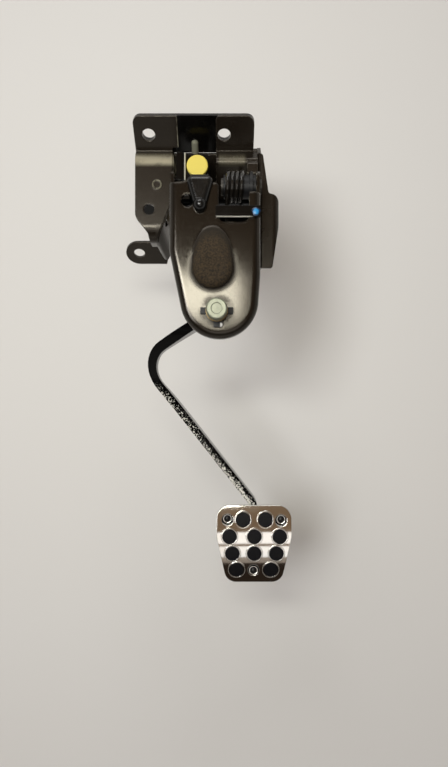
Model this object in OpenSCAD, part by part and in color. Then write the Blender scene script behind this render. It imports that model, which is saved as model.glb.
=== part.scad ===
// Hanging clutch pedal with its pressed steel bracket.
// Millimetres. X runs to the right, Y runs forward into the bulkhead, Z runs up.
// The origin lies midway between the two upper bolt holes, on the mounting face.
// The sloped frame has u up the slope of the front plate and w out of it.

/* [Mounting] */
// Distance between the two upper bolt holes
hole_pitch = 50; // [46:1:54]
// Diameter of the three mounting holes
hole_d = 8.7; // [8:0.1:10]
// Height of the upper mounting flanges
flange_h = 25.5; // [24:0.5:28]
// Distance of the lower tab hole below the upper holes
tab_drop = 99; // [96:1:101]

/* [Bracket] */
// Slope of the front plate above the horizontal
slope_deg = 40; // [38:1:42]
// Thickness of the pressed sheets
sheet_t = 2.4; // [2:0.1:2.8]
// Thickness of the back plate
back_t = 2.6; // [2:0.1:3]
// Distance of the front plate's face above the sloped origin
plate_w = 33.6; // [32:0.2:36]
// Radius of the round lower end of the front plate
tongue_r = 24.3; // [23:0.1:26]
// Depth of the turned rim of the front plate
rim_depth = 9; // [7:0.5:11]

/* [Pedal] */
// Thickness of the pedal arm
arm_t = 6; // [5:0.5:7]
// Diameter of the pivot bolt
pivot_d = 8; // [6:0.5:9]
// Outer diameter of the hub tube
hub_d = 20; // [18:0.5:22]
// Distance of the clevis hole from the pivot, down the slope
clevis_reach = 46; // [40:1:52]
// Diameter of the clevis hole
clevis_d = 8.1; // [6:0.1:9]

/* [Pad] */
// Width of the pad at its widest
pad_w = 56.6; // [52:0.2:60]
// Height of the pad
pad_h = 58; // [54:1:62]
// Radius of the pad's curved face
pad_crown = 110; // [90:5:160]
// Diameter of the rubber studs
stud_d = 10.6; // [9:0.1:11]

/* [Springs] */
// Outer diameter of the torsion spring
coil_d = 21; // [19:0.5:22]
// Wire diameter of the torsion spring
wire_d = 2.8; // [2.4:0.1:3]
// Turns of the torsion spring
coil_turns = 4; // [3:1:4]

/* [Hidden] */

$fn = 64;
bend_step = 9;
cut = 1;
cs = cos(slope_deg);
sn = sin(slope_deg);

// Mounting faces and holes
hole_x = hole_pitch / 2;
flange_top = flange_h / 2;
flange_bottom = -flange_h / 2;
flange_y = -back_t - sheet_t / 2;
flange_left = -34.7;
back_end = -66;
flange_right = 44.8;
pocket_right = 40.4;
channel_left = -5.6;
channel_right = 19.6;
tab_x = -42;
tab_r = 10.4;

// Left and right walls
left_wall_x = -8.9;
right_wall_x = 47.4;
column_w = -2.7;
column_end = -71;
flare_u = -44;
flare_end = [-13.6, -78];
brow_top = -15;
ear_w = 2.2;
ear_t = sheet_t - 0.1;
ear_top = -42.3;
ear_end = -91.6;
ear_right = 61.6;
edge_w = ear_w - 4;
web_bottom = -76;
arch_r = 13;
recess_y = -15;
recess_z = -46;

// Front plate
tongue_x = 22;
tongue_u = -116.7;
lean_left = 11.6;
lean_right = 4;
rim_bend = 3.4;
kink_r = 12;
wall_foot = -25;
tray_w = plate_w - rim_depth;
plate_top = -45;
wall_end = -84;
notch_left = 21.5;
notch_right = 40.3;
notch_u = -69.5;
strip_top = -51;
tray_top = -29;
arch_rise = 2.6;
dome_x = 18;
dome_r = 12.6;
dome_h = 5.4;
dome_round = 5;
dome_u = -97.8;
dome_fade_u = -81;
dome_fade_h = 0.4;

// Pivot, in the sloped frame
pivot_u = -52;
pivot_w = -12;
bolt_flange_d = 15.4;
head_way_d = bolt_flange_d + 0.6;
sleeve_d = 12;
bush_d = 15;
bush_flange = 1.2;
bush_flange_d = 22;
side_gap = 0.15;
run_gap = 0.05;

// Pedal arm, in the sloped frame
arm_x = 18.5;
clevis_u = pivot_u - clevis_reach;
clevis_w = 0;
lever_hole = [7.4, -25.8];
pad_x = 47.6;
pad_u = -290;
pad_face_w = -51;
cover_t = 1;
pad_back_w = -58.5;
pad_plate_t = 2.5;
arm_pad_w = pad_back_w - pad_plate_t;
lip_h = 0.4;
dimple_w = -55;
head_w = -54.2;

// Places of the studs and rivets, from the centre of the pad
stud_rows = [
    [18.8, [-8.2, 8.7]],
    [6.3, [-18.5, 0.2, 19.3]],
    [-6.4, [-16.4, 0.1, 16.7]],
    [-19, [-13.2, 12.6]]
];
rivet_places = [[-20.1, 19.2], [20.4, 18.6], [-0.4, -20]];

// Stopper
stop_x = 20.5;
stop_u = -124;
stop_head_d = 12.8;
stop_shank_d = 8;
stop_tip_w = 18;
stop_proud = 14;
collar_top = plate_w + 2.4;

// Torsion spring
post_u = -43.5;
post_w = 19;
coil_x = 25.4;
post_d = 8;
hook_u = -69.5;
hook_w = 9.2;
coil_r = (coil_d - wire_d) / 2;
coil_start = -40;
coil_end = 90 + 360 * (coil_turns - 1);
coil_pitch = wire_d + 0.1;
coil_step = 15;
wire_sides = 10;

// Geometry helpers

// A point of the sloped frame, given in the upright side view
function on_side(u, w) = [u * cs - w * sn, u * sn + w * cs];

// Direction from one point to the next, and the direction to its left
function dir(p, q) = (q - p) / norm(q - p);
function lft(d) = [-d[1], d[0]];
function turned(d, a) = [d[0] * cos(a) - d[1] * sin(a), d[0] * sin(a) + d[1] * cos(a)];
function turn_of(d1, d2) = atan2(d1[0] * d2[1] - d1[1] * d2[0], d1 * d2);

// The arc that rounds a corner q of a path, at the distance off to its left
function corner_arc(p, q, s, r, off) =
    let (d1 = dir(p, q),
         turn = turn_of(d1, dir(q, s)),
         side = turn < 0 ? -1 : 1,
         centre = q - r * tan(abs(turn) / 2) * d1 + side * r * lft(d1),
         steps = max(1, ceil(abs(turn) / bend_step)))
    r == 0 ? [q] : [for (k = [0 : steps])
        centre + (off - side * r) * turned(lft(d1), turn * k / steps)];

// One face of a strip that follows the path, at the distance off to its left
function strip_face(path, radii, off) =
    let (n = len(path))
    [path[0] + off * lft(dir(path[0], path[1])),
     for (i = [1 : n - 2]) each corner_arc(path[i - 1], path[i], path[i + 1], radii[i - 1], off),
     path[n - 1] + off * lft(dir(path[n - 2], path[n - 1]))];

function backwards(v) = [for (i = [len(v) - 1 : -1 : 0]) v[i]];

// Section of a bent sheet: a strip of thickness t along the path
module bent(path, radii, t) {
    polygon(concat(strip_face(path, radii, t / 2), backwards(strip_face(path, radii, -t / 2))));
}

// Outline with a rounded corner at each point
module rounded(points, radii) {
    n = len(points);
    polygon([for (i = [0 : n - 1])
        each corner_arc(points[(i + n - 1) % n], points[i], points[(i + 1) % n], radii[i], 0)]);
}

// Places its children in the sloped frame
module sloped() {
    rotate([slope_deg, 0, 0]) children();
}

// Extrudes a side view along X, from x0
module along_x(x0, len) {
    translate([x0, 0, 0]) rotate([90, 0, 90]) linear_extrude(len) children();
}

// Extrudes a front view towards the driver, from y0
module along_y(y0, len) {
    translate([0, y0, 0]) rotate([90, 0, 0]) linear_extrude(len) children();
}

// A round bar along X
module bar_x(x0, x1, d) {
    translate([x0, 0, 0]) rotate([0, 90, 0]) cylinder(d = d, h = x1 - x0);
}

// A hexagon along Z
module hexagon(across, h) {
    cylinder(d = across / cos(30), h = h, $fn = 6);
}

// Places its children on the pivot line, still in the sloped frame
module at_pivot() {
    sloped() translate([0, pivot_u, pivot_w]) children();
}

// Bracket

module mounting_bores() {
    for (x = [-hole_x, hole_x])
        translate([x, cut, 0]) rotate([90, 0, 0]) cylinder(d = hole_d, h = 12);
}

module back_plate() {
    bead_x = 5.3;
    bead_r = 2.4;
    bead_len = 7;
    color([0.09, 0.09, 0.09])
    difference() {
        union() {
            along_y(0, back_t)
                rounded([[flange_left, back_end], [left_wall_x - 4, back_end],
                         [left_wall_x - 4, flange_bottom - 1], [flange_right, flange_bottom - 1],
                         [flange_right, flange_top - 0.6], [flange_left, flange_top - 0.6]],
                        [6, 3, 2, 3, 5, 5]);
            translate([bead_x, -back_t, flange_bottom - 1]) cylinder(r = bead_r, h = bead_len);
            translate([bead_x, -back_t, flange_bottom - 1 + bead_len]) sphere(r = bead_r);
        }
        mounting_bores();
    }
}

// Left stamping: upper flange, ledge, column and curl are one bent sheet
left_path = [
    [flange_y, flange_top],
    [flange_y, flange_bottom],
    [(flange_bottom * cs - column_w) / sn, flange_bottom],
    on_side(column_end, column_w),
    on_side(column_end, column_w - 19)
];

module left_sheet() {
    intersection() {
        along_x(flange_left - cut, channel_left - flange_left + 2 * cut)
            bent(left_path, [2.2, 5, 9], sheet_t);
        union() {
            translate([0, 30, 0]) along_y(0, 60)
                rounded([[flange_left, flange_bottom + 2], [channel_left, flange_bottom + 4],
                         [channel_left, flange_top], [flange_left, flange_top]],
                        [0, 1, 1.5, 5]);
            sloped() translate([0, 0, -40]) linear_extrude(80)
                rounded([[flange_left, -8.5], [flange_left, -57], [-26.4, -67],
                         [-24.6, column_end - 6], [left_wall_x + flare_end[0], flare_end[1] + 2],
                         [left_wall_x - 0.8, flare_u], [left_wall_x - 0.8, -8.5]],
                        [0, 9, 4, 1, 0, 0, 0]);
        }
    }
}

// Wall of the left stamping, flared outwards down to the tab
module left_wall() {
    mid = left_wall_x - sheet_t / 2;
    intersection() {
        sloped() translate([0, 0, -100]) linear_extrude(120)
            bent([[mid, 10], [mid, flare_u], [mid + flare_end[0], flare_end[1]]], [8], sheet_t);
        along_x(left_wall_x - 20, 24)
            rounded([[0, flange_bottom - 2.4], [flange_y, flange_bottom],
                     left_path[2], left_path[3] - [0, 1.2], [0, -tab_drop - tab_r]],
                    [0, 0, 4, 9, 4]);
    }
}

module left_tab() {
    along_y(0, sheet_t)
        union() {
            translate([tab_x, -tab_drop]) circle(r = tab_r);
            polygon([[tab_x, -tab_drop - tab_r], [-20.8, -tab_drop - tab_r],
                     [-16.2, -tab_drop + tab_r], [tab_x, -tab_drop + tab_r]]);
        }
}

// Web across the back, arched over the way of the push rod
module web() {
    along_y(-back_t, sheet_t) difference() {
        polygon([[left_wall_x - 1, flange_bottom - 1.2], [left_wall_x - 1, -60],
                 [left_wall_x - 4.6, web_bottom], [right_wall_x, web_bottom],
                 [right_wall_x, flange_bottom - 1.2]]);
        translate([arm_x, web_bottom + arch_r]) circle(r = arch_r);
        translate([arm_x - arch_r, web_bottom - 1]) square([2 * arch_r, arch_r + 1]);
    }
}

module bracket_left() {
    punch = [-25.4, -51.6];
    mark = [-20, -35];
    color([0.27, 0.25, 0.22])
    difference() {
        union() {
            left_sheet();
            left_wall();
            left_tab();
            web();
            sloped() translate([mark[0], mark[1], column_w])
                rotate_extrude() translate([2.3, 0]) square([1, sheet_t / 2 + 0.4]);
        }
        mounting_bores();
        translate([tab_x, cut, -tab_drop]) rotate([90, 0, 0]) cylinder(d = hole_d, h = 6);
        sloped() translate([punch[0], punch[1], column_w - 5]) cylinder(d = 7.4, h = 10);
        at_pivot() bar_x(left_wall_x - 20, 0, head_way_d);
    }
}

// Right stamping: upper flange, ledge and recess wall are one bent sheet
module right_sheet() {
    intersection() {
        along_x(channel_right, right_wall_x - channel_right)
            bent([[flange_y, flange_top], [flange_y, flange_bottom],
                  [recess_y, flange_bottom], [recess_y, recess_z]],
                 [2.2, 2.6], sheet_t);
        union() {
            along_y(0, 40)
                rounded([[channel_right, flange_bottom - 0.5], [flange_right, flange_bottom - 0.5],
                         [flange_right, flange_top], [channel_right, flange_top]],
                        [0, 0, 6, 3]);
            along_y(0, 40)
                rounded([[channel_right, recess_z], [right_wall_x, recess_z],
                         [right_wall_x, flange_bottom + 2], [channel_right, flange_bottom + 2]],
                        [3, 0, 0, 0]);
        }
    }
}

// Raised cheek between the ledge and the side wall
module cheek() {
    top = on_side(-19, ear_w);
    foot = on_side(-31, ear_w);
    along_x(pocket_right, right_wall_x - pocket_right)
        rounded([[recess_y, flange_bottom], top, foot, [recess_y, -30]], [0, 3, 3, 0]);
}

// Side wall of the right stamping
module right_wall() {
    along_x(right_wall_x, sheet_t)
        rounded([[0, flange_bottom + 1], [0, web_bottom], on_side(ear_end + 3, -14),
                 on_side(ear_end + 1, edge_w - 2), on_side(ear_end + 1, edge_w),
                 on_side(brow_top + 1, edge_w)],
                [0, 5, 12, 0, 0, 1]);
}

// Ear and brow: the front edge of the right wall, turned outwards and back
module ear() {
    mid = ear_w - sheet_t / 2;
    wall_mid = right_wall_x + sheet_t / 2;
    lip_mid = ear_right - sheet_t / 2;
    intersection() {
        sloped() translate([0, ear_end, 0]) rotate([-90, 0, 0]) mirror([0, 1, 0])
            linear_extrude(brow_top - ear_end)
            bent([[wall_mid, edge_w - 2], [wall_mid, mid], [lip_mid, mid], [lip_mid, mid - 8]],
                 [2, 3.2], ear_t);
        sloped() translate([0, 0, -20]) linear_extrude(40)
            rounded([[right_wall_x - 1, ear_end], [57, ear_end], [ear_right, -62],
                     [ear_right, ear_top], [54.6, ear_top], [50.6, brow_top],
                     [right_wall_x - 1, brow_top]],
                    [0, 1.5, 20, 6, 2, 3, 0]);
    }
}

module bracket_right() {
    color([0.25, 0.23, 0.2])
    difference() {
        union() {
            right_sheet();
            cheek();
            right_wall();
            ear();
        }
        mounting_bores();
        at_pivot() bar_x(right_wall_x - 2, right_wall_x + 6, pivot_d + 0.4);
    }
}

// Front plate

// A round post whose upper edge is rounded with round_r, set inwards by inset
module post(p, r, top, round_r, foot, inset) {
    arc = [for (a = [0 : bend_step : 90])
        [r - round_r + (round_r - inset) * cos(a), top - round_r + (round_r - inset) * sin(a)]];
    translate([p[0], p[1], 0]) rotate_extrude($fn = 48)
        polygon(concat([[0, foot - inset], [r - inset, foot - inset]], arc, [[0, top - inset]]));
}

module tray_post(p, r, inset) {
    post(p, r, plate_w, rim_bend + sheet_t / 2, wall_foot - cut, inset);
}

// Centre of the bend where the leaning side at the distance d from the middle turns upright
function kink(d, lean) = [d - kink_r, ((d - kink_r) * cos(lean) - tongue_r + kink_r) / sin(lean)];

// The tray of the front plate, from the middle of its round end, set inwards by inset
module tray(inset) {
    left = tongue_x - left_wall_x;
    right = right_wall_x - tongue_x;
    kl = kink(left, lean_left);
    kr = kink(right, lean_right);
    top = tray_top - tongue_u + kink_r;
    hull() {
        tray_post([0, 0], tongue_r, inset);
        tray_post([-kl[0], kl[1]], kink_r, inset);
        tray_post(kr, kink_r, inset);
        tray_post([kink_r - left, top], kink_r, inset);
        tray_post([right - kink_r, top], kink_r, inset);
    }
}

// Everything above the upper edge of the plate, with the spring window
module above_plate() {
    translate([0, 0, tray_w - 2 * cut]) linear_extrude(rim_depth + 3 * cut)
        rounded([[left_wall_x - 5, plate_top], [-1, plate_top], [6, plate_top + arch_rise],
                 [13, plate_top + arch_rise], [18, plate_top - 0.6], [notch_left, plate_top - 0.6],
                 [notch_left, notch_u], [notch_right, notch_u], [notch_right, 20],
                 [left_wall_x - 5, 20]],
                [0, 6, 6, 6, 3, 2, 4, 4, 0, 0]);
}

// Side view of the front plate: a shallow rim with a deep wall that carries the pivot
module plate_side() {
    rotate(slope_deg)
        rounded([[plate_top + arch_rise, 60], [plate_top + arch_rise, 29], [-35, 27.5], [-35, 10],
                 [-41.5, -6], [-42, wall_foot], [-64, wall_foot], [wall_end, tray_w],
                 [-160, tray_w], [-160, 60]],
                [0, 1, 7, 6, 6, 6, 12, 3, 0, 0]);
}

// The front of the right rim above its upper end
module rim_end() {
    translate([notch_right - 3, strip_top, plate_w - 6])
        cube([right_wall_x - notch_right + 6, 30, 10]);
}

// The pressed dome: as wide all along, and fading into the face up the slope
module dome(inset) {
    foot = plate_w - dome_round - 1.5;
    hull() {
        post([dome_x, dome_u], dome_r, plate_w + dome_h, dome_round, foot, inset);
        post([dome_x, dome_fade_u], dome_r, plate_w + dome_fade_h, dome_round, foot, inset);
    }
}

module front_plate() {
    color([0.42, 0.4, 0.36])
    difference() {
        union() {
            difference() {
                intersection() {
                    sloped() translate([tongue_x, tongue_u, 0]) tray(0);
                    along_x(left_wall_x - 5, 70) plate_side();
                }
                sloped() translate([tongue_x, tongue_u, 0]) tray(sheet_t);
                sloped() above_plate();
                sloped() rim_end();
            }
            sloped() intersection() {
                dome(0);
                translate([dome_x - dome_r - cut, -120, plate_w - sheet_t / 2])
                    cube([2 * (dome_r + cut), 60, dome_r]);
            }
        }
        sloped() dome(sheet_t);
        at_pivot() bar_x(left_wall_x - 5, right_wall_x + 5, pivot_d + 0.4);
        sloped() {
            translate([stop_x, stop_u, 0]) cylinder(d = stop_shank_d + 0.6, h = 50);
            translate([22.6, -132.3, 0]) cylinder(d = 2.8, h = 50);
            translate([2.4, -56.5, 0]) cylinder(d = 7.6, h = 50);
            translate([0, post_u, post_w]) bar_x(right_wall_x - 5, right_wall_x + 5, post_d - 2);
        }
    }
}

// Strap across the spring opening
module spring_strap() {
    color([0.06, 0.06, 0.06])
    sloped() translate([0, 0, plate_w]) linear_extrude(sheet_t)
        rounded([[19.8, -66.9], [47.4, -66.9], [47.4, -60], [19.8, -60]], [1, 1, 1, 1]);
}

// Pivot

// A hexagon along X, from x0
module hex_x(x0, across, len) {
    translate([x0, 0, 0]) rotate([0, 90, 0]) hexagon(across, len);
}

module pivot_bolt() {
    head_h = 5.3;
    flange_h = 1.4;
    outer = left_wall_x;
    color([0.5, 0.48, 0.4])
    at_pivot() {
        bar_x(outer - 0.5, right_wall_x + sheet_t + 9, pivot_d);
        bar_x(outer - flange_h, outer, bolt_flange_d);
        hex_x(outer - head_h, 12, head_h - flange_h / 2);
    }
}

module pivot_nut() {
    outer = right_wall_x + sheet_t;
    color([0.5, 0.48, 0.4])
    at_pivot() difference() {
        union() {
            bar_x(outer, outer + 1.5, bolt_flange_d);
            hex_x(outer + 0.7, 12, 6);
        }
        bar_x(outer - 1, outer + 9, pivot_d);
    }
}

module pivot_sleeve() {
    color([0.6, 0.6, 0.58])
    at_pivot() difference() {
        bar_x(left_wall_x + sheet_t, right_wall_x - sheet_t, sleeve_d);
        bar_x(left_wall_x, right_wall_x, pivot_d + 0.2);
    }
}

// A flanged bush whose flange starts at x and points along the hand
module bush(x, hand) {
    bush_len = 14;
    translate([x, 0, 0]) mirror([hand > 0 ? 0 : 1, 0, 0]) difference() {
        union() {
            bar_x(0, bush_flange, bush_flange_d);
            bar_x(0, bush_len, bush_d);
        }
        bar_x(-cut, bush_len + cut, sleeve_d + 2 * run_gap);
    }
}

module bush_left() {
    color([0.85, 0.83, 0.76])
    at_pivot() bush(left_wall_x + sheet_t + side_gap, 1);
}

module bush_right() {
    color([0.85, 0.83, 0.76])
    at_pivot() bush(right_wall_x - sheet_t - side_gap, -1);
}

module hub_tube() {
    reach = sheet_t + side_gap + bush_flange;
    color([0.05, 0.05, 0.05])
    at_pivot() difference() {
        bar_x(left_wall_x + reach, right_wall_x - reach, hub_d);
        bar_x(left_wall_x, right_wall_x, bush_d);
    }
}

// Pedal arm

// Side view of the arm, in the sloped frame
module arm_side() {
    translate([pivot_u, pivot_w]) circle(r = hub_d / 2 + 4);
    rounded([[-40, -12], [-56, 3], [-64, 15.5], [-75, 15.5], [-86, 11], [-112, 13],
             [-130, 12.4], [-169, -50], [-184, -56], [-256, arm_pad_w], [-298, arm_pad_w],
             [-298, -75], [-264, -76.5], [-190, -75.5], [-176, -71], [-143, -20],
             [-120, -9], [-96, -14], [-66, -25], [-50, -24]],
            [0, 20, 5, 5, 14, 30, 22, 26, 20, 20, 1, 5, 20, 30, 24, 24, 20, 30, 20, 0]);
}

// Front view of the arm: one flat bar bent sideways past the bracket
module arm_front() {
    bent([[arm_x, -30], [arm_x, -122], [-36.3, -153.4], [pad_x, -261], [pad_x, -300]],
         [6, 19, 10], arm_t);
}

module arm_blank() {
    intersection() {
        along_x(-60, 140) rotate(slope_deg) arm_side();
        sloped() translate([0, 0, -90]) linear_extrude(120) arm_front();
    }
}

module pedal_arm() {
    color([0.03, 0.03, 0.035])
    difference() {
        arm_blank();
        at_pivot() bar_x(arm_x - arm_t, arm_x + arm_t, hub_d);
        sloped() translate([0, clevis_u, clevis_w]) bar_x(arm_x - arm_t, arm_x + arm_t, clevis_d);
        sloped() translate([0, hook_u, hook_w]) bar_x(arm_x - arm_t, arm_x + arm_t, wire_d + 0.6);
    }
}

// Lever above the hub, with a raised left edge
module switch_lever() {
    lever_t = 2.4;
    lever_w = 4;
    color([0.04, 0.04, 0.045])
    difference() {
        union() {
            sloped() translate([0, -17.4, 0]) rotate([90, 0, 0]) linear_extrude(18)
                bent([[14.2, lever_w], [-1.4, lever_w], [-1.4, 8.3], [-6, 8.3]], [1.3, 1.3], lever_t);
            along_x(1.6, 12) rotate(slope_deg)
                bent([[-50, -14], [-37.5, lever_w], [-30, lever_w]], [5], lever_t);
        }
        at_pivot() bar_x(-10, 30, hub_d);
        sloped() translate([lever_hole[0], lever_hole[1], 0]) cylinder(d = 6, h = 12);
    }
}

module switch_pad() {
    front = 8.7;
    back = 5.2;
    color([0.85, 0.77, 0.36])
    sloped() translate([lever_hole[0], lever_hole[1], 0])
        rotate_extrude()
        polygon([[0, back - 5], [2.4, back - 5], [3.4, back - 3.2], [3, back - 2.4], [3, back],
                 [6.6, back], [7, back + 0.5], [7, front - 0.6], [6.7, front - 0.15], [6.2, front],
                 [0, front]]);
}

module stop_cushion() {
    color([0.08, 0.08, 0.08])
    difference() {
        sloped() translate([stop_x - 1, stop_u + 3, 8]) cylinder(d = 10.4, h = stop_tip_w - 0.4 - 8);
        arm_blank();
    }
}

// Stopper

module stopper_bolt() {
    head_h = 10;
    top = plate_w + stop_proud;
    color([0.72, 0.72, 0.66])
    sloped() translate([stop_x, stop_u, 0]) rotate_extrude()
        polygon([[0, stop_tip_w], [stop_shank_d / 2 - 0.8, stop_tip_w],
                 [stop_shank_d / 2, stop_tip_w + 0.8], [stop_shank_d / 2, top - head_h],
                 [stop_head_d / 2, top - head_h], [stop_head_d / 2, top - 0.8],
                 [stop_head_d / 2 - 0.8, top], [3.4, top], [3.1, top - 0.3], [0, top - 0.3]]);
}

module stopper_ring(d, w0, w1) {
    sloped() translate([stop_x, stop_u, w0]) difference() {
        cylinder(d = d, h = w1 - w0);
        translate([0, 0, -cut]) cylinder(d = stop_shank_d, h = w1 - w0 + 2 * cut);
    }
}

module stopper_washer() {
    color([0.66, 0.56, 0.33])
    stopper_ring(13.6, collar_top, plate_w + stop_proud - 10);
}

// Collar with three lugs that keep it from turning
module stopper_collar() {
    color([0.1, 0.1, 0.1])
    sloped() translate([stop_x, stop_u, plate_w]) difference() {
        union() {
            cylinder(d = 13.4, h = collar_top - plate_w);
            for (a = [180, 270, 0])
                rotate([0, 0, a]) translate([0, -2, 0]) cube([10, 4, 1.6]);
        }
        translate([0, 0, -cut]) cylinder(d = stop_shank_d, h = 5);
    }
}

module stopper_weld_nut() {
    nut_h = 6.5;
    color([0.3, 0.28, 0.25])
    sloped() translate([stop_x, stop_u, plate_w - sheet_t - nut_h]) difference() {
        hexagon(13, nut_h);
        translate([0, 0, -cut]) cylinder(d = stop_shank_d, h = nut_h + 2 * cut);
    }
}

// Torsion spring

function coil_point(a) = [
    coil_x + wire_d / 2 + coil_pitch * (a - coil_start) / 360,
    post_u + coil_r * sin(a),
    post_w + coil_r * cos(a)
];

wire_path = concat(
    [[arm_x - 4, hook_u, hook_w], [coil_x - 0.6, hook_u, hook_w],
     [coil_x + wire_d / 2 - 0.4, hook_u + 0.6, hook_w + 0.5],
     [coil_x + wire_d / 2, hook_u + 1.6, hook_w + 1.4]],
    [for (a = [coil_start : coil_step : coil_end]) coil_point(a)],
    [coil_point(coil_end) - [0, 0, 10], coil_point(coil_end) - [0, 0, 32]]
);

// A round wire swept along a path
module wire(path, d, sides) {
    n = len(path);
    function tangent(i) = dir(path[max(i - 1, 0)], path[min(i + 1, n - 1)]);
    function across(i) = let (t = tangent(i), r = abs(t[0]) > 0.8 ? [0, 0, 1] : [1, 0, 0])
        cross(t, r) / norm(cross(t, r));
    rings = [for (i = [0 : n - 1]) let (a = across(i), b = cross(tangent(i), a))
        for (k = [0 : sides - 1])
            path[i] + d / 2 * (a * cos(360 * k / sides) + b * sin(360 * k / sides))];
    sides_faces = [for (i = [0 : n - 2]) for (k = [0 : sides - 1])
        let (m = (k + 1) % sides)
        [i * sides + k, (i + 1) * sides + k, (i + 1) * sides + m, i * sides + m]];
    caps = [[for (k = [0 : sides - 1]) k],
            [for (k = [sides - 1 : -1 : 0]) (n - 1) * sides + k]];
    polyhedron(rings, concat(sides_faces, caps), convexity = 6);
}

module torsion_spring() {
    color([0.07, 0.07, 0.07])
    sloped() wire(wire_path, wire_d, wire_sides);
}

module spring_post() {
    head_d = 11;
    tail = post_d - 2;
    color([0.35, 0.34, 0.32])
    sloped() translate([0, post_u, post_w]) {
        bar_x(coil_x - 2.4, coil_x - 0.8, head_d);
        bar_x(coil_x - 1, right_wall_x - sheet_t, post_d);
        bar_x(right_wall_x - sheet_t - 0.5, right_wall_x + 0.5, tail);
        bar_x(right_wall_x, right_wall_x + 1.4, tail + 3.4);
    }
}

module spring_spool() {
    color([0.12, 0.12, 0.12])
    sloped() translate([0, post_u, post_w]) difference() {
        union() {
            bar_x(coil_x - 0.8, right_wall_x - sheet_t, coil_d - 2 * wire_d - 0.5);
            bar_x(41, 43, coil_d - 2);
        }
        bar_x(coil_x - 3, right_wall_x, post_d);
    }
}

// Rubber clip over the upper edge of the front plate
module edge_clip() {
    clip_x = 10.2;
    nose_u = -60.5;
    back = plate_w - sheet_t;
    color([0.04, 0.04, 0.05])
    sloped() difference() {
        union() {
            hull() {
                for (x = [-4.6, 4.6])
                    translate([clip_x + x, -45, plate_w + 0.4]) sphere(r = 3.4, $fn = 32);
                translate([clip_x, nose_u, plate_w + 0.6]) sphere(r = 3.8, $fn = 32);
            }
            translate([clip_x, nose_u + 1, plate_w + 2]) sphere(r = 4.2, $fn = 32);
            translate([clip_x - 5.4, -54, back - 2]) cube([10.8, 13.2, sheet_t + 3]);
        }
        translate([clip_x - 20, -80, back]) cube([40, 80 + plate_top + arch_rise, sheet_t]);
        translate([clip_x - 20, -80, back - 12]) cube([40, 26, 12]);
    }
}

// Pad

// Outline of the pad, smaller all round by inset
module pad_outline(inset) {
    half = pad_w / 2 - inset;
    rise = pad_h / 2 - inset;
    foot = 20.6 - inset * 0.7;
    rounded([[-foot, -rise], [foot, -rise], [half, 6], [half, rise], [-half, rise], [-half, 6]],
            [9 - inset, 9 - inset, 22, 10 - inset, 10 - inset, 22]);
}

// The pad's form: its outline, bounded in front by the curved face
module pad_form(inset, lower, w0) {
    translate([pad_x, pad_u, 0]) intersection() {
        translate([0, 0, w0]) linear_extrude(pad_face_w - w0 + 5) pad_outline(inset);
        translate([-pad_w, 0, pad_face_w - pad_crown]) rotate([0, 90, 0])
            cylinder(r = pad_crown - lower, h = 2 * pad_w, $fn = 180);
    }
}

module at_studs() {
    for (row = stud_rows)
        for (x = row[1])
            translate([pad_x + x, pad_u + row[0], 0]) children();
}

// Outer form of the dimple that a rivet sits in
module dimple(grow) {
    translate([0, 0, -grow]) cylinder(r1 = 3.8 + grow, r2 = 8.1 + grow, h = 5);
}

module at_rivets() {
    for (p = rivet_places)
        translate([pad_x + p[0], pad_u + p[1], 0]) children();
}

module pad_plate() {
    color([0.1, 0.1, 0.1])
    sloped() difference() {
        translate([pad_x, pad_u, pad_back_w - pad_plate_t]) linear_extrude(pad_plate_t)
            pad_outline(2.5);
        at_rivets() translate([0, 0, -80]) cylinder(d = 4, h = 60);
    }
}

module pad_rubber() {
    color([0.05, 0.05, 0.055])
    sloped() difference() {
        union() {
            pad_form(cover_t + 0.1, cover_t, pad_back_w);
            intersection() {
                pad_form(1, -1.2, pad_back_w);
                at_studs() translate([0, 0, -60]) cylinder(d = stud_d, h = 20);
            }
        }
        at_rivets() translate([0, 0, -80]) cylinder(d = 4, h = 60);
        at_rivets() translate([0, 0, dimple_w]) dimple(0.05);
    }
}

module pad_cover() {
    color([0.75, 0.73, 0.68])
    sloped() difference() {
        union() {
            difference() {
                union() {
                    pad_form(0, 0, pad_back_w + 0.4);
                    intersection() {
                        pad_form(1, -lip_h, pad_back_w + 0.4);
                        at_studs() translate([0, 0, -60]) cylinder(d = stud_d + 2, h = 20);
                    }
                }
                pad_form(cover_t, cover_t, pad_back_w - 2);
            }
            intersection() {
                pad_form(0, 0, pad_back_w);
                at_rivets() translate([0, 0, dimple_w]) dimple(0);
            }
        }
        at_studs() translate([0, 0, -60]) cylinder(d = stud_d + 0.3, h = 20);
        at_rivets() translate([0, 0, head_w]) cylinder(r1 = 3.2, r2 = 7, h = 4.5);
        at_rivets() translate([0, 0, -60]) cylinder(d = 4, h = 20);
    }
}

module pad_rivets() {
    color([0.15, 0.15, 0.15])
    sloped() at_rivets() {
        translate([0, 0, pad_back_w - pad_plate_t - 1.4]) cylinder(d = 6.4, h = 1.4);
        translate([0, 0, pad_back_w - pad_plate_t - 0.5]) cylinder(d = 4, h = 8);
        translate([0, 0, head_w]) intersection() {
            translate([0, 0, -1.7]) sphere(r = 3.4);
            cylinder(d = 5.6, h = 5);
        }
    }
}

back_plate();
bracket_left();
bracket_right();
front_plate();
spring_strap();
pivot_bolt();
pivot_nut();
pivot_sleeve();
bush_left();
bush_right();
hub_tube();
pedal_arm();
switch_lever();
switch_pad();
stop_cushion();
stopper_bolt();
stopper_washer();
stopper_collar();
stopper_weld_nut();
torsion_spring();
spring_post();
spring_spool();
edge_clip();
pad_plate();
pad_rubber();
pad_cover();
pad_rivets();
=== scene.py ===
"""Looks of the hanging clutch pedal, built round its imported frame.

The scene is in metres. Places on the part are given in millimetres of the sloped frame that
the part's source uses too: x to the right, u up the front plate, w out of it. The camera
looks down w, and the stage's table is a plane across it.
"""

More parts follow.
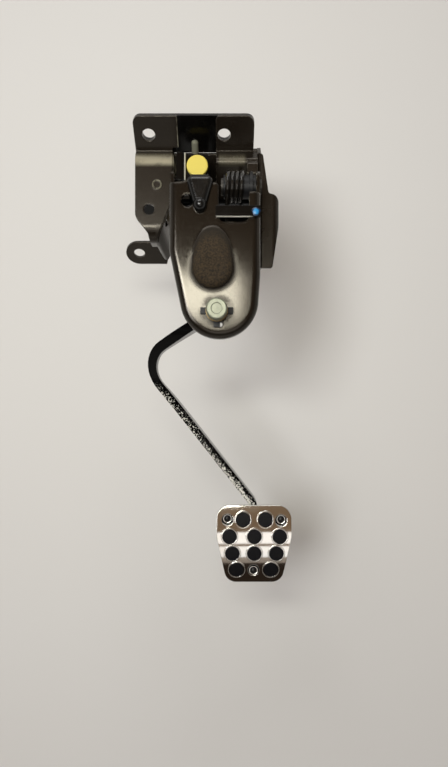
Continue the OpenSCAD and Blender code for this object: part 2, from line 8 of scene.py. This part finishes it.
import math

import bmesh
import bpy
from mathutils import Matrix, Vector


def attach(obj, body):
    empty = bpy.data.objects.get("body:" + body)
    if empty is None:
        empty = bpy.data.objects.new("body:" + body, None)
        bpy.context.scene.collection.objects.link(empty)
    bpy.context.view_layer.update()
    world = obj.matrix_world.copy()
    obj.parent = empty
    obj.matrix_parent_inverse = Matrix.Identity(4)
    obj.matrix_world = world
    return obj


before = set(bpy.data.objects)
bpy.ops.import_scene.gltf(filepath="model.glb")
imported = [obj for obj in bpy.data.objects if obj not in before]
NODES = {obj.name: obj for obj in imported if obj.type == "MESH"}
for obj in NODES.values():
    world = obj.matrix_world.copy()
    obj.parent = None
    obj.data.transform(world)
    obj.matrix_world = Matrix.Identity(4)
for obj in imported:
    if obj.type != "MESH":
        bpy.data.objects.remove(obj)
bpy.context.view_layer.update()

SLOPE = math.radians(40)
TO_PART = Matrix.Rotation(SLOPE, 4, "X")
MM = 0.001
X, U, W = 0, 1, 2  # axes of the sloped frame

# Places on the part, in millimetres of the sloped frame
FACE_W = 33.7  # just above the open face of the front plate
DOME = (18, -81, -97.8)  # the dome's middle line: its x, upper end and lower end
STOPPER = (20.5, -124.3, -124.3)
COLUMN_RING = (-20, -35, -35)
DAB = (44.3, -63.8, 36.05)  # middle of the blue paint, on the strap
STRAP_EDGE = [(U, -66.5, -66.8), (X, 43, 40)]
LEVER_EDGE = [(X, -1.2, -0.9), (X, 0.6, 0.2), (W, 6, 7)]
LEFT_OF_RUN = (-0.789, -0.615)  # direction in x and u, square to the arm's lower run

# The table, the room that lights the part and shows in it, and the pale backdrop
TABLE_W = -205  # lower than in the photograph, so that the pressed pedal stays above it
TABLE_HALF = 3000
ROOM = (0.14, 0.12, 0.105)
ROOM_ABOVE = (0.25, 0.165, 0.1)
ROOM_NEAR = (0.03, 0.02, 0.014)
BACKDROP = (0.72, 0.7, 0.66)

# Lamps: name, place, aim, size in metres, power in watts, colour
BAND_AIM = (60, -290, 0)
LAMPS = [
    ("key", (-74, -47, 500), (-74, -47, 0), (0.244, 0.062), 1.3, (1.0, 1.0, 0.9)),
    # The three bands show as bright stripes in the pad and in the plate's lower end
    ("band_far", (150, -590, 1900), BAND_AIM, (1.3, 0.36), 2.1, (1.0, 1.0, 1.0)),
    ("band_near", (150, -1040, 1900), BAND_AIM, (1.3, 0.36), 2.0, (1.0, 1.0, 1.0)),
    ("band_end", (150, -1350, 1900), BAND_AIM, (1.3, 0.2), 0.3, (1.0, 0.85, 0.72)),
    ("side", (-620, -20, 1800), (20, -140, 0), (0.5, 0.7), 15, (0.98, 0.99, 1.0)),
    ("back", (-250, 1800, 1260), (0, -60, 0), (1.6, 0.9), 22, (1.0, 0.99, 0.97)),
]


def sloped(x, u, w):
    """A point of the sloped frame, given in millimetres, in the row frame."""
    return TO_PART @ (Vector((x, u, w)) * MM)


# Camera: the photograph's pinhole, straight above the table

CAMERA_AT = (24.9, -168.4, 400.6)
PHOTO_HEIGHT_PX = 767
FOCAL_PX = 600
SENSOR = 36.0


def make_camera():
    cam = bpy.data.cameras.new("photo_camera")
    cam.sensor_width = SENSOR
    cam.lens = SENSOR * FOCAL_PX / PHOTO_HEIGHT_PX
    cam.clip_start = 0.01
    cam.clip_end = 20
    ob = bpy.data.objects.new("photo_camera", cam)
    bpy.context.scene.collection.objects.link(ob)
    ob.matrix_world = Matrix.Translation(sloped(*CAMERA_AT)) @ TO_PART
    bpy.context.scene.camera = ob


# Materials

WORN_AND_HIGHLIGHT = (0.3, 0.27, 0.22)
EDGE_TURN = (0.02, 0.3)  # how far a bevelled normal leans away where an edge begins and is full


class Mat:
    """A Principled material with helpers for procedural detail."""

    def __init__(self, name, base, rough, metallic=0.0, specular=0.5):
        self.m = bpy.data.materials.new(name)
        self.m.use_nodes = True
        self.m.diffuse_color = (*base, 1)
        self.n = self.m.node_tree.nodes
        self.l = self.m.node_tree.links
        self.bsdf = self.n["Principled BSDF"]
        self.set("Base Color", (*base, 1))
        self.set("Roughness", rough)
        self.set("Metallic", metallic)
        self.set("Specular IOR Level", specular)
        self.coord = self.n.new("ShaderNodeTexCoord").outputs["Object"]

    def set(self, socket, value):
        self.bsdf.inputs[socket].default_value = value

    def link(self, a, b):
        self.l.new(a, b)

    def mapped(self, scale=(1, 1, 1)):
        """Object coordinates, turned into the sloped frame and scaled."""
        mp = self.n.new("ShaderNodeMapping")
        mp.vector_type = "TEXTURE"
        mp.inputs["Rotation"].default_value = (SLOPE, 0, 0)
        mp.inputs["Scale"].default_value = [1 / s for s in scale]
        self.link(self.coord, mp.inputs["Vector"])
        return mp.outputs["Vector"]

    def noise(self, scale, detail, rough=0.55, vector=None, distortion=0.0):
        t = self.n.new("ShaderNodeTexNoise")
        t.inputs["Scale"].default_value = scale
        t.inputs["Detail"].default_value = detail
        t.inputs["Roughness"].default_value = rough
        t.inputs["Distortion"].default_value = distortion
        self.link(vector or self.coord, t.inputs["Vector"])
        return t.outputs["Fac"]

    def ramp(self, fac, zero, one):
        """A mask that is 0 where a value is at zero, and 1 where it is at one."""
        r = self.n.new("ShaderNodeMapRange")
        r.interpolation_type = "SMOOTHSTEP"
        r.inputs["From Min"].default_value = zero
        r.inputs["From Max"].default_value = one
        self.link(fac, r.inputs["Value"])
        return r.outputs["Result"]

    def math(self, op, a, b=None):
        t = self.n.new("ShaderNodeMath")
        t.operation = op
        for i, v in enumerate((a, b)):
            if v is None:
                continue
            if isinstance(v, (int, float)):
                t.inputs[i].default_value = v
            else:
                self.link(v, t.inputs[i])
        return t.outputs[0]

    def product(self, *factors):
        """The product of masks and numbers."""
        out = factors[0]
        for factor in factors[1:]:
            out = self.math("MULTIPLY", out, factor)
        return out

    def split(self, vector):
        """The three parts of a vector."""
        s = self.n.new("ShaderNodeSeparateXYZ")
        self.link(vector, s.inputs[0])
        return s.outputs

    def axis(self, which):
        """One coordinate of the sloped frame, in metres."""
        return self.split(self.mapped())[which]

    def fade(self, which, zero, one):
        """A mask along an axis of the sloped frame, between two places in millimetres."""
        return self.ramp(self.axis(which), zero * MM, one * MM)

    def band(self, which, start, full, full_end, end):
        """A mask that grows along an axis from start to full, and fades from full_end to end."""
        return self.product(self.fade(which, start, full), self.fade(which, end, full_end))

    def reach(self, x, top, bottom):
        """Distance in metres, across w, from an upright line at x between two heights."""
        u = self.axis(U)
        above = self.math("SUBTRACT", u, top * MM)
        below = self.math("SUBTRACT", bottom * MM, u)
        along = self.math("MAXIMUM", self.math("MAXIMUM", above, below), 0.0)
        across = self.math("SUBTRACT", self.axis(X), x * MM)
        square = self.math("ADD", self.product(across, across), self.product(along, along))
        return self.math("SQRT", square)

    def mix(self, socket, kind, fac, other):
        """Mixes something else over what a socket of the shader has now."""
        target = self.bsdf.inputs[socket]
        t = self.n.new("ShaderNodeMix")
        t.data_type = kind
        if target.is_linked:
            self.link(target.links[0].from_socket, t.inputs["A"])
        else:
            t.inputs["A"].default_value = target.default_value
        t.inputs["B"].default_value = other
        self.link(fac, t.inputs["Factor"])
        self.link(t.outputs["Result"], target)

    def mix_colour(self, fac, colour):
        self.mix("Base Color", "RGBA", fac, (*colour, 1))

    def mix_rough(self, fac, rough):
        self.mix("Roughness", "FLOAT", fac, rough)

    def bevel(self, radius):
        """Normals rounded over the edges."""
        b = self.n.new("ShaderNodeBevel")
        b.samples = 6
        b.inputs["Radius"].default_value = radius
        return b.outputs["Normal"]

    def edges(self, radius):
        """A mask that is 1 on sharp edges and 0 on open faces."""
        g = self.n.new("ShaderNodeNewGeometry")
        d = self.n.new("ShaderNodeVectorMath")
        d.operation = "DOT_PRODUCT"
        self.link(self.bevel(radius), d.inputs[0])
        self.link(g.outputs["True Normal"], d.inputs[1])
        return self.ramp(self.math("SUBTRACT", 1.0, d.outputs["Value"]), *EDGE_TURN)

    def surface(self, radius, bumps=()):
        """Rounded edges and bumps in the normal. A bump is (height, strength, distance)."""
        normal = self.bevel(radius)
        for height, strength, distance in bumps:
            t = self.n.new("ShaderNodeBump")
            t.inputs["Strength"].default_value = strength
            t.inputs["Distance"].default_value = distance
            self.link(height, t.inputs["Height"])
            self.link(normal, t.inputs["Normal"])
            normal = t.outputs["Normal"]
        self.link(normal, self.bsdf.inputs["Normal"])


def coat_paint(name, base, rough, spec, edge_wear_and_highlight=0.6, soft=0.001):
    """Semi-gloss electrocoat on pressed steel: mottled, scuffed, worn bright on its edges, the
    pale edges also a painted highlight.
    """
    m = Mat(name, base, rough, specular=spec)
    cloud = m.noise(38, 5)
    m.mix_colour(m.ramp(cloud, 0.35, 0.75), [c * 1.35 + 0.001 for c in base])
    fine = m.noise(900, 3)
    m.mix_rough(m.ramp(fine, 0.3, 0.8), rough + 0.05)
    # Pale edges: worn paint, and also a painted highlight along the sheet edges
    edge = m.product(m.edges(0.0006), m.ramp(m.noise(300, 5), 0.42, 0.62), edge_wear_and_highlight)
    m.mix_colour(edge, WORN_AND_HIGHLIGHT)
    scuffs = m.noise(60, 8, 0.7, m.mapped((1, 9, 1)), 1.5)
    m.mix_colour(m.product(m.ramp(scuffs, 0.68, 0.8), 0.035), WORN_AND_HIGHLIGHT)
    m.set("Specular Tint", (1, 0.92, 0.8, 1))
    m.surface(soft, [(cloud, 0.06, 0.0005), (fine, 0.05, 0.0001)])
    return m


def bracket_coat():
    """The stampings' coat, with a painted highlight of dull metal sheen along the ledges' bends.
    """
    m = coat_paint("bracket_coat", (0.009, 0.0066, 0.0046), 0.22, spec=0.35)

    # Painted highlight: a pale metal sheen painted along the bends of the ledges, where light
    # catches them
    left_ledge = m.product(m.fade(X, -7.5, -9.5), 0.85)
    right_ledge = m.product(m.band(X, 20.5, 22.5, 37.5, 40.5), 0.27)
    ledge_highlight = m.product(
        m.band(U, -11.5, -19.5, -19.8, -23.5),
        m.ramp(m.noise(120, 5), 0.1, 0.6),
        m.math("ADD", left_ledge, right_ledge),
    )
    m.mix_colour(ledge_highlight, (0.34, 0.31, 0.22))
    m.mix_rough(ledge_highlight, 0.4)

    # A lighter, broken ring painted on the column
    off_ring = m.math("ABSOLUTE", m.math("SUBTRACT", m.reach(*COLUMN_RING), 2.8 * MM))
    ring = m.product(m.ramp(off_ring, 0.7 * MM, 0.3 * MM), m.ramp(m.noise(700, 3), 0.3, 0.55))
    m.mix_colour(m.product(ring, 0.45), (0.26, 0.25, 0.18))

    # A painted highlight on the sheet's edge down the inner edge of the left stamping, broken
    # like worn paint
    edge = m.product(m.band(X, -6.4, -6, -5.5, -5.2), m.fade(U, -13, -11))
    m.mix_colour(m.product(edge, m.ramp(m.noise(90, 4), 0.3, 0.6)), (0.2, 0.19, 0.15))

    # The column's foot is matt
    m.mix_rough(m.product(m.fade(U, -60, -68), m.band(X, -22, -19, -5, -2)), 0.65)
    return m


def plate_coat():
    """The front plate's coat: matt on and round the dome, with a grainy brown reflection painted
    on the dome, and grimy round the stopper.
    """
    m = coat_paint("plate_coat", (0.006, 0.0044, 0.003), 0.11, spec=0.42, edge_wear_and_highlight=0.8, soft=0.002)

    # Painted reflection: the dome is painted a grainy brown, the brown of the room it mirrors
    grain = m.ramp(m.noise(900, 4), 0.3, 0.7)
    m.mix_colour(m.product(m.fade(W, FACE_W, FACE_W + 3.5), grain), (0.036, 0.023, 0.011))
    near_dome = m.ramp(m.reach(*DOME), 16.5 * MM, 10.5 * MM)
    near_foot = m.product(near_dome, m.fade(U, -84, -99))
    m.mix_rough(m.math("MAXIMUM", m.fade(W, FACE_W, FACE_W + 0.6), near_foot), 0.9)

    near_stopper = m.ramp(m.reach(*STOPPER), 12.5 * MM, 7.8 * MM)
    grime = m.product(near_stopper, m.ramp(m.noise(160, 5), 0.25, 0.6))
    m.mix_rough(grime, 0.36)
    m.mix_colour(grime, (0.006, 0.0045, 0.003))
    return m


def gloss_black(name, base=(0.002, 0.0018, 0.0016), rough=0.14, spec=0.25, pale_edge=()):
    """Thick glossy black paint with orange peel and a little dust.

    The last argument holds (axis, from, to) for fade: where all meet, a pale line is painted,
    bare steel and a painted highlight on the edge.
    """
    m = Mat(name, base, rough, specular=spec)
    peel = m.noise(420, 2)
    dust = m.noise(70, 6)
    m.mix_colour(m.product(m.ramp(dust, 0.5, 0.8), 0.2), (0.02, 0.017, 0.014))
    m.mix_rough(m.ramp(dust, 0.45, 0.8), rough + 0.1)
    if pale_edge:
        # A pale line painted on the edge: bare steel, and a painted highlight where the edge
        # catches the light
        bare_steel_and_highlight = m.product(*[m.fade(*edge) for edge in pale_edge])
        m.mix_colour(bare_steel_and_highlight, (0.75, 0.74, 0.66))
        m.mix_rough(bare_steel_and_highlight, 0.45)
    m.surface(0.0005, [(peel, 0.1, 0.0002)])
    return m


def back_black():
    """The back plate's gloss black, with a pale matt grey painted on the bead as its highlight.
    """
    m = gloss_black("black_back")
    x, y = m.split(m.coord)[:2]  # the part's own axes, because this plate isn't sloped
    # Painted highlight: the bead is painted pale and matt, like rubbed paint, where it catches
    # the light
    bead_highlight = m.product(
        m.ramp(y, -2.8 * MM, -3.4 * MM),
        m.ramp(x, 2.4 * MM, 3.2 * MM),
        m.ramp(x, 8.2 * MM, 7.4 * MM),
    )
    m.mix_colour(bead_highlight, (0.16, 0.16, 0.12))
    m.mix_rough(bead_highlight, 0.6)
    return m


def plated(name, base, rough):
    """Zinc plating: dull, grainy and a little blotched."""
    m = Mat(name, base, rough, metallic=0.7, specular=0.4)
    blotch = m.noise(220, 5)
    grain = m.noise(2600, 3)
    m.mix_colour(m.ramp(blotch, 0.4, 0.75), [c * 0.72 for c in base])
    m.mix_rough(m.ramp(grain, 0.3, 0.7), rough + 0.12)
    m.surface(0.0004, [(blotch, 0.2, 0.0002), (grain, 0.15, 0.00005)])
    return m


def plastic(name, base, rough, dirt=(0.025, 0.021, 0.016), amount=0.35, spec=0.25):
    """Moulded plastic or rubber with a fine grain and dirt in blotches."""
    m = Mat(name, base, rough, specular=spec)
    grain = m.noise(1500, 3)
    grime = m.noise(180, 6)
    m.mix_colour(m.product(m.ramp(grime, 0.5, 0.8), amount), dirt)
    m.mix_rough(m.ramp(grain, 0.3, 0.7), rough + 0.12)
    m.surface(0.0004, [(grain, 0.12, 0.00008)])
    return m


def arm_paint():
    """Glossy black, chipped white along the left of the arm's lower run, the white speckles also
    a painted highlight on its left edge.
    """
    m = Mat("arm_paint", (0.0012, 0.0012, 0.0012), 0.13, specular=0.05)
    peel = m.noise(350, 2)
    along_x, along_u = (m.product(m.axis(i), LEFT_OF_RUN[i]) for i in (X, U))
    left = m.math("ADD", along_x, along_u)
    run = m.band(U, -166, -176, -262, -275)
    more = m.math("ADD", m.product(m.fade(U, -215, -250), 0.09), 0.085)
    rim = m.product(m.ramp(left, 120.5 * MM, 124.5 * MM), more)
    chance = m.math("ADD", m.noise(900, 3, 0.6), rim)
    # White chips along the left edge, which also stand in as a painted highlight there
    chips_and_highlight = m.product(m.ramp(chance, 0.635, 0.66), run, m.ramp(left, 116 * MM, 119.5 * MM))
    m.mix_colour(chips_and_highlight, (0.7, 0.69, 0.63))
    m.mix_rough(chips_and_highlight, 0.5)
    m.surface(0.0009, [(peel, 0.08, 0.0002)])
    return m


def pad_steel():
    """Satin stainless steel, finely brushed across."""
    m = Mat("pad_steel", (0.6, 0.59, 0.56), 0.07, metallic=1.0)
    brush = m.noise(900, 4, 0.6, m.mapped((0.05, 1, 1)))
    smudge = m.noise(55, 5)
    m.mix_colour(m.product(m.ramp(smudge, 0.45, 0.8), 0.4), (0.5, 0.43, 0.36))
    m.mix_rough(m.ramp(smudge, 0.4, 0.8), 0.11)
    m.surface(0.0006, [(brush, 0.05, 0.00005)])
    return m


def blue_paint():
    """Blue paint, darker towards the dab's uneven rim."""
    m = Mat("blue_paint", (0.02, 0.22, 0.5), 0.3, specular=0.4)
    far = m.math("ADD", m.reach(DAB[X], DAB[U], DAB[U]), m.product(m.noise(500, 3), 1.2 * MM))
    m.mix_colour(m.ramp(far, 1.9 * MM, 2.7 * MM), (0.004, 0.02, 0.06))
    m.surface(0.0002)
    return m


def table_material():
    """Pale table, seen only from its front side."""
    m = Mat("table", (0.72, 0.715, 0.7), 0.75, specular=0.2)
    cloud = m.noise(2.2, 2)
    m.mix_colour(m.product(m.ramp(cloud, 0.3, 0.7), 0.35), (0.7, 0.685, 0.66))
    geo = m.n.new("ShaderNodeNewGeometry")
    clear = m.n.new("ShaderNodeBsdfTransparent")
    mix = m.n.new("ShaderNodeMixShader")
    m.link(geo.outputs["Backfacing"], mix.inputs["Fac"])
    m.link(m.bsdf.outputs["BSDF"], mix.inputs[1])
    m.link(clear.outputs["BSDF"], mix.inputs[2])
    m.link(mix.outputs["Shader"], m.n["Material Output"].inputs["Surface"])
    return m


def dress():
    """Gives every CAD node its material."""
    bracket = bracket_coat()
    arm = arm_paint()
    nylon = plastic("bush_nylon", (0.55, 0.52, 0.43), 0.45)
    dull_zinc = plated("dull_yellow_zinc", (0.07, 0.055, 0.035), 0.45)
    raw = plated("raw_steel", (0.045, 0.042, 0.038), 0.4)
    dark_plastic = plastic("black_plastic", (0.006, 0.006, 0.007), 0.42)
    looks = {
        "back_plate": back_black(),
        "bracket_left": bracket,
        "bracket_right": bracket,
        "front_plate": plate_coat(),
        "spring_strap": gloss_black("strap_black", pale_edge=STRAP_EDGE),
        "pivot_bolt": dull_zinc,
        "pivot_nut": dull_zinc,
        "pivot_sleeve": raw,
        "bush_left": nylon,
        "bush_right": nylon,
        "hub_tube": arm,
        "pedal_arm": arm,
        "switch_lever": gloss_black("lever_black", pale_edge=LEVER_EDGE),
        "switch_pad": plastic("yellow_plastic", (0.63, 0.52, 0.098), 0.4, (0.42, 0.33, 0.06)),
        "stop_cushion": plastic("cushion_rubber", (0.02, 0.02, 0.02), 0.6),
        "stopper_bolt": plated("zinc", (0.235, 0.245, 0.187), 0.42),
        "stopper_washer": plated("yellow_zinc", (0.3, 0.22, 0.1), 0.4),
        "stopper_collar": dark_plastic,
        "stopper_weld_nut": raw,
        "torsion_spring": gloss_black("spring_steel", (0.006, 0.005, 0.004), 0.12, spec=0.9),
        "spring_post": raw,
        "spring_spool": dark_plastic,
        "edge_clip": plastic("clip_rubber", (0.004, 0.004, 0.004), 0.12, spec=0.4),
        "pad_plate": gloss_black("black_gloss"),
        "pad_rubber": plastic("pad_rubber", (0.004, 0.004, 0.005), 0.4, amount=0.2, spec=0.1),
        "pad_cover": pad_steel(),
        "pad_rivets": gloss_black("rivet_black", (0.006, 0.006, 0.006), 0.2),
    }
    for node, m in looks.items():
        ob = NODES[node]
        ob.data.materials.clear()
        ob.data.materials.append(m.m)


# The one piece that the scene adds

DAB_RADIUS = 2.7
DAB_HEIGHT = 0.5
DAB_SINK = 0.1  # its rim dips into the strap
DAB_RINGS = 4
DAB_AROUND = 24


def dab_ring(bm, k):
    """The vertices of one of the dab's wavy rings, counted from its tip."""
    t = k / DAB_RINGS
    height = DAB_HEIGHT * (1 - t * t) - (DAB_SINK if k == DAB_RINGS else 0)
    ring = []
    for i in range(DAB_AROUND):
        a = 2 * math.pi * i / DAB_AROUND
        wave = 1 + 0.07 * t * math.sin(3 * a + 0.6) + 0.04 * t * math.sin(5 * a)
        r = DAB_RADIUS * t * wave
        ring.append(bm.verts.new(sloped(r * math.cos(a), r * math.sin(a), height)))
    return ring


def paint_dab():
    """A dab of blue paint on the right end of the strap."""
    bm = bmesh.new()
    tip = bm.verts.new(sloped(0, 0, DAB_HEIGHT))
    last = None
    for k in range(1, DAB_RINGS + 1):
        ring = dab_ring(bm, k)
        for i in range(DAB_AROUND):
            j = (i + 1) % DAB_AROUND
            if last:
                bm.faces.new((last[i], ring[i], ring[j], last[j]))
            else:
                bm.faces.new((tip, ring[i], ring[j]))
        last = ring
    bmesh.ops.translate(bm, verts=bm.verts, vec=sloped(*DAB))
    mesh = bpy.data.meshes.new("paint_dab")
    bm.to_mesh(mesh)
    bm.free()
    for face in mesh.polygons:
        face.use_smooth = True
    mesh.materials.append(blue_paint().m)
    ob = bpy.data.objects.new("paint_dab", mesh)
    bpy.context.scene.collection.objects.link(ob)
    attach(ob, "bracket")


# Stage


def make_table():
    signs = [(-1, -1), (1, -1), (1, 1), (-1, 1)]
    corners = [sloped(i * TABLE_HALF, j * TABLE_HALF, TABLE_W) for i, j in signs]
    mesh = bpy.data.meshes.new("table")
    mesh.from_pydata(corners, [], [(0, 1, 2, 3)])
    mesh.materials.append(table_material().m)
    ob = bpy.data.objects.new("table", mesh)
    bpy.context.scene.collection.objects.link(ob)


def area_light(name, at, aim, size, power, colour):
    light = bpy.data.lights.new(name, "AREA")
    light.shape = "RECTANGLE"
    light.size, light.size_y = size
    light.energy = power
    light.color = colour
    ob = bpy.data.objects.new(name, light)
    bpy.context.scene.collection.objects.link(ob)
    ob.visible_camera = False
    place, target = sloped(*at), sloped(*aim)
    ob.location = place
    ob.rotation_euler = (target - place).to_track_quat("-Z", "Y").to_euler()


def make_world():
    """A room with a brown ceiling, dark near the foot. The camera sees a pale backdrop instead.

    Metal and glass show that backdrop too, except from the ceiling's side.
    """
    world = bpy.data.worlds.new("studio")
    bpy.context.scene.world = world
    world.use_nodes = True
    n, l = world.node_tree.nodes, world.node_tree.links
    n.clear()

    def feed(socket, colour):
        """Gives a socket a plain colour, or the colour that another node makes."""
        if isinstance(colour, tuple):
            socket.default_value = (*colour, 1)
        else:
            l.new(colour, socket)

    def towards(direction, lo, hi, under, over):
        """Mixes a colour over another where the sky lies in a direction."""
        way = n.new("ShaderNodeTexCoord")
        dot = n.new("ShaderNodeVectorMath")
        dot.operation = "DOT_PRODUCT"
        dot.inputs[1].default_value = TO_PART @ Vector(direction)
        l.new(way.outputs["Generated"], dot.inputs[0])
        spread = n.new("ShaderNodeMapRange")
        spread.inputs["From Min"].default_value = lo
        spread.inputs["From Max"].default_value = hi
        l.new(dot.outputs["Value"], spread.inputs["Value"])
        mixed = n.new("ShaderNodeMix")
        mixed.data_type = "RGBA"
        feed(mixed.inputs["A"], under)
        feed(mixed.inputs["B"], over)
        l.new(spread.outputs["Result"], mixed.inputs["Factor"])
        return mixed.outputs["Result"]

    def background(colour):
        part = n.new("ShaderNodeBackground")
        feed(part.inputs["Color"], colour)
        return part.outputs[0]

    sky = towards((0, 0, 1), 0.75, 0.92, ROOM, ROOM_ABOVE)
    sky = towards((0, -1, 0), 0.3, 0.48, sky, ROOM_NEAR)
    mirrored = towards((0, 0, -1), -0.5, -0.2, sky, BACKDROP)
    seen_by = {
        "Is Glossy Ray": mirrored,
        "Is Transmission Ray": mirrored,
        "Is Camera Ray": BACKDROP,
    }
    path = n.new("ShaderNodeLightPath")
    shown = background(sky)
    for ray, colour in seen_by.items():
        mix = n.new("ShaderNodeMixShader")
        l.new(path.outputs[ray], mix.inputs["Fac"])
        l.new(shown, mix.inputs[1])
        l.new(background(colour), mix.inputs[2])
        shown = mix.outputs[0]
    l.new(shown, n.new("ShaderNodeOutputWorld").inputs["Surface"])


make_camera()
dress()
paint_dab()
make_table()
make_world()
for lamp in LAMPS:
    area_light(*lamp)
bpy.context.scene.view_settings.view_transform = "Standard"
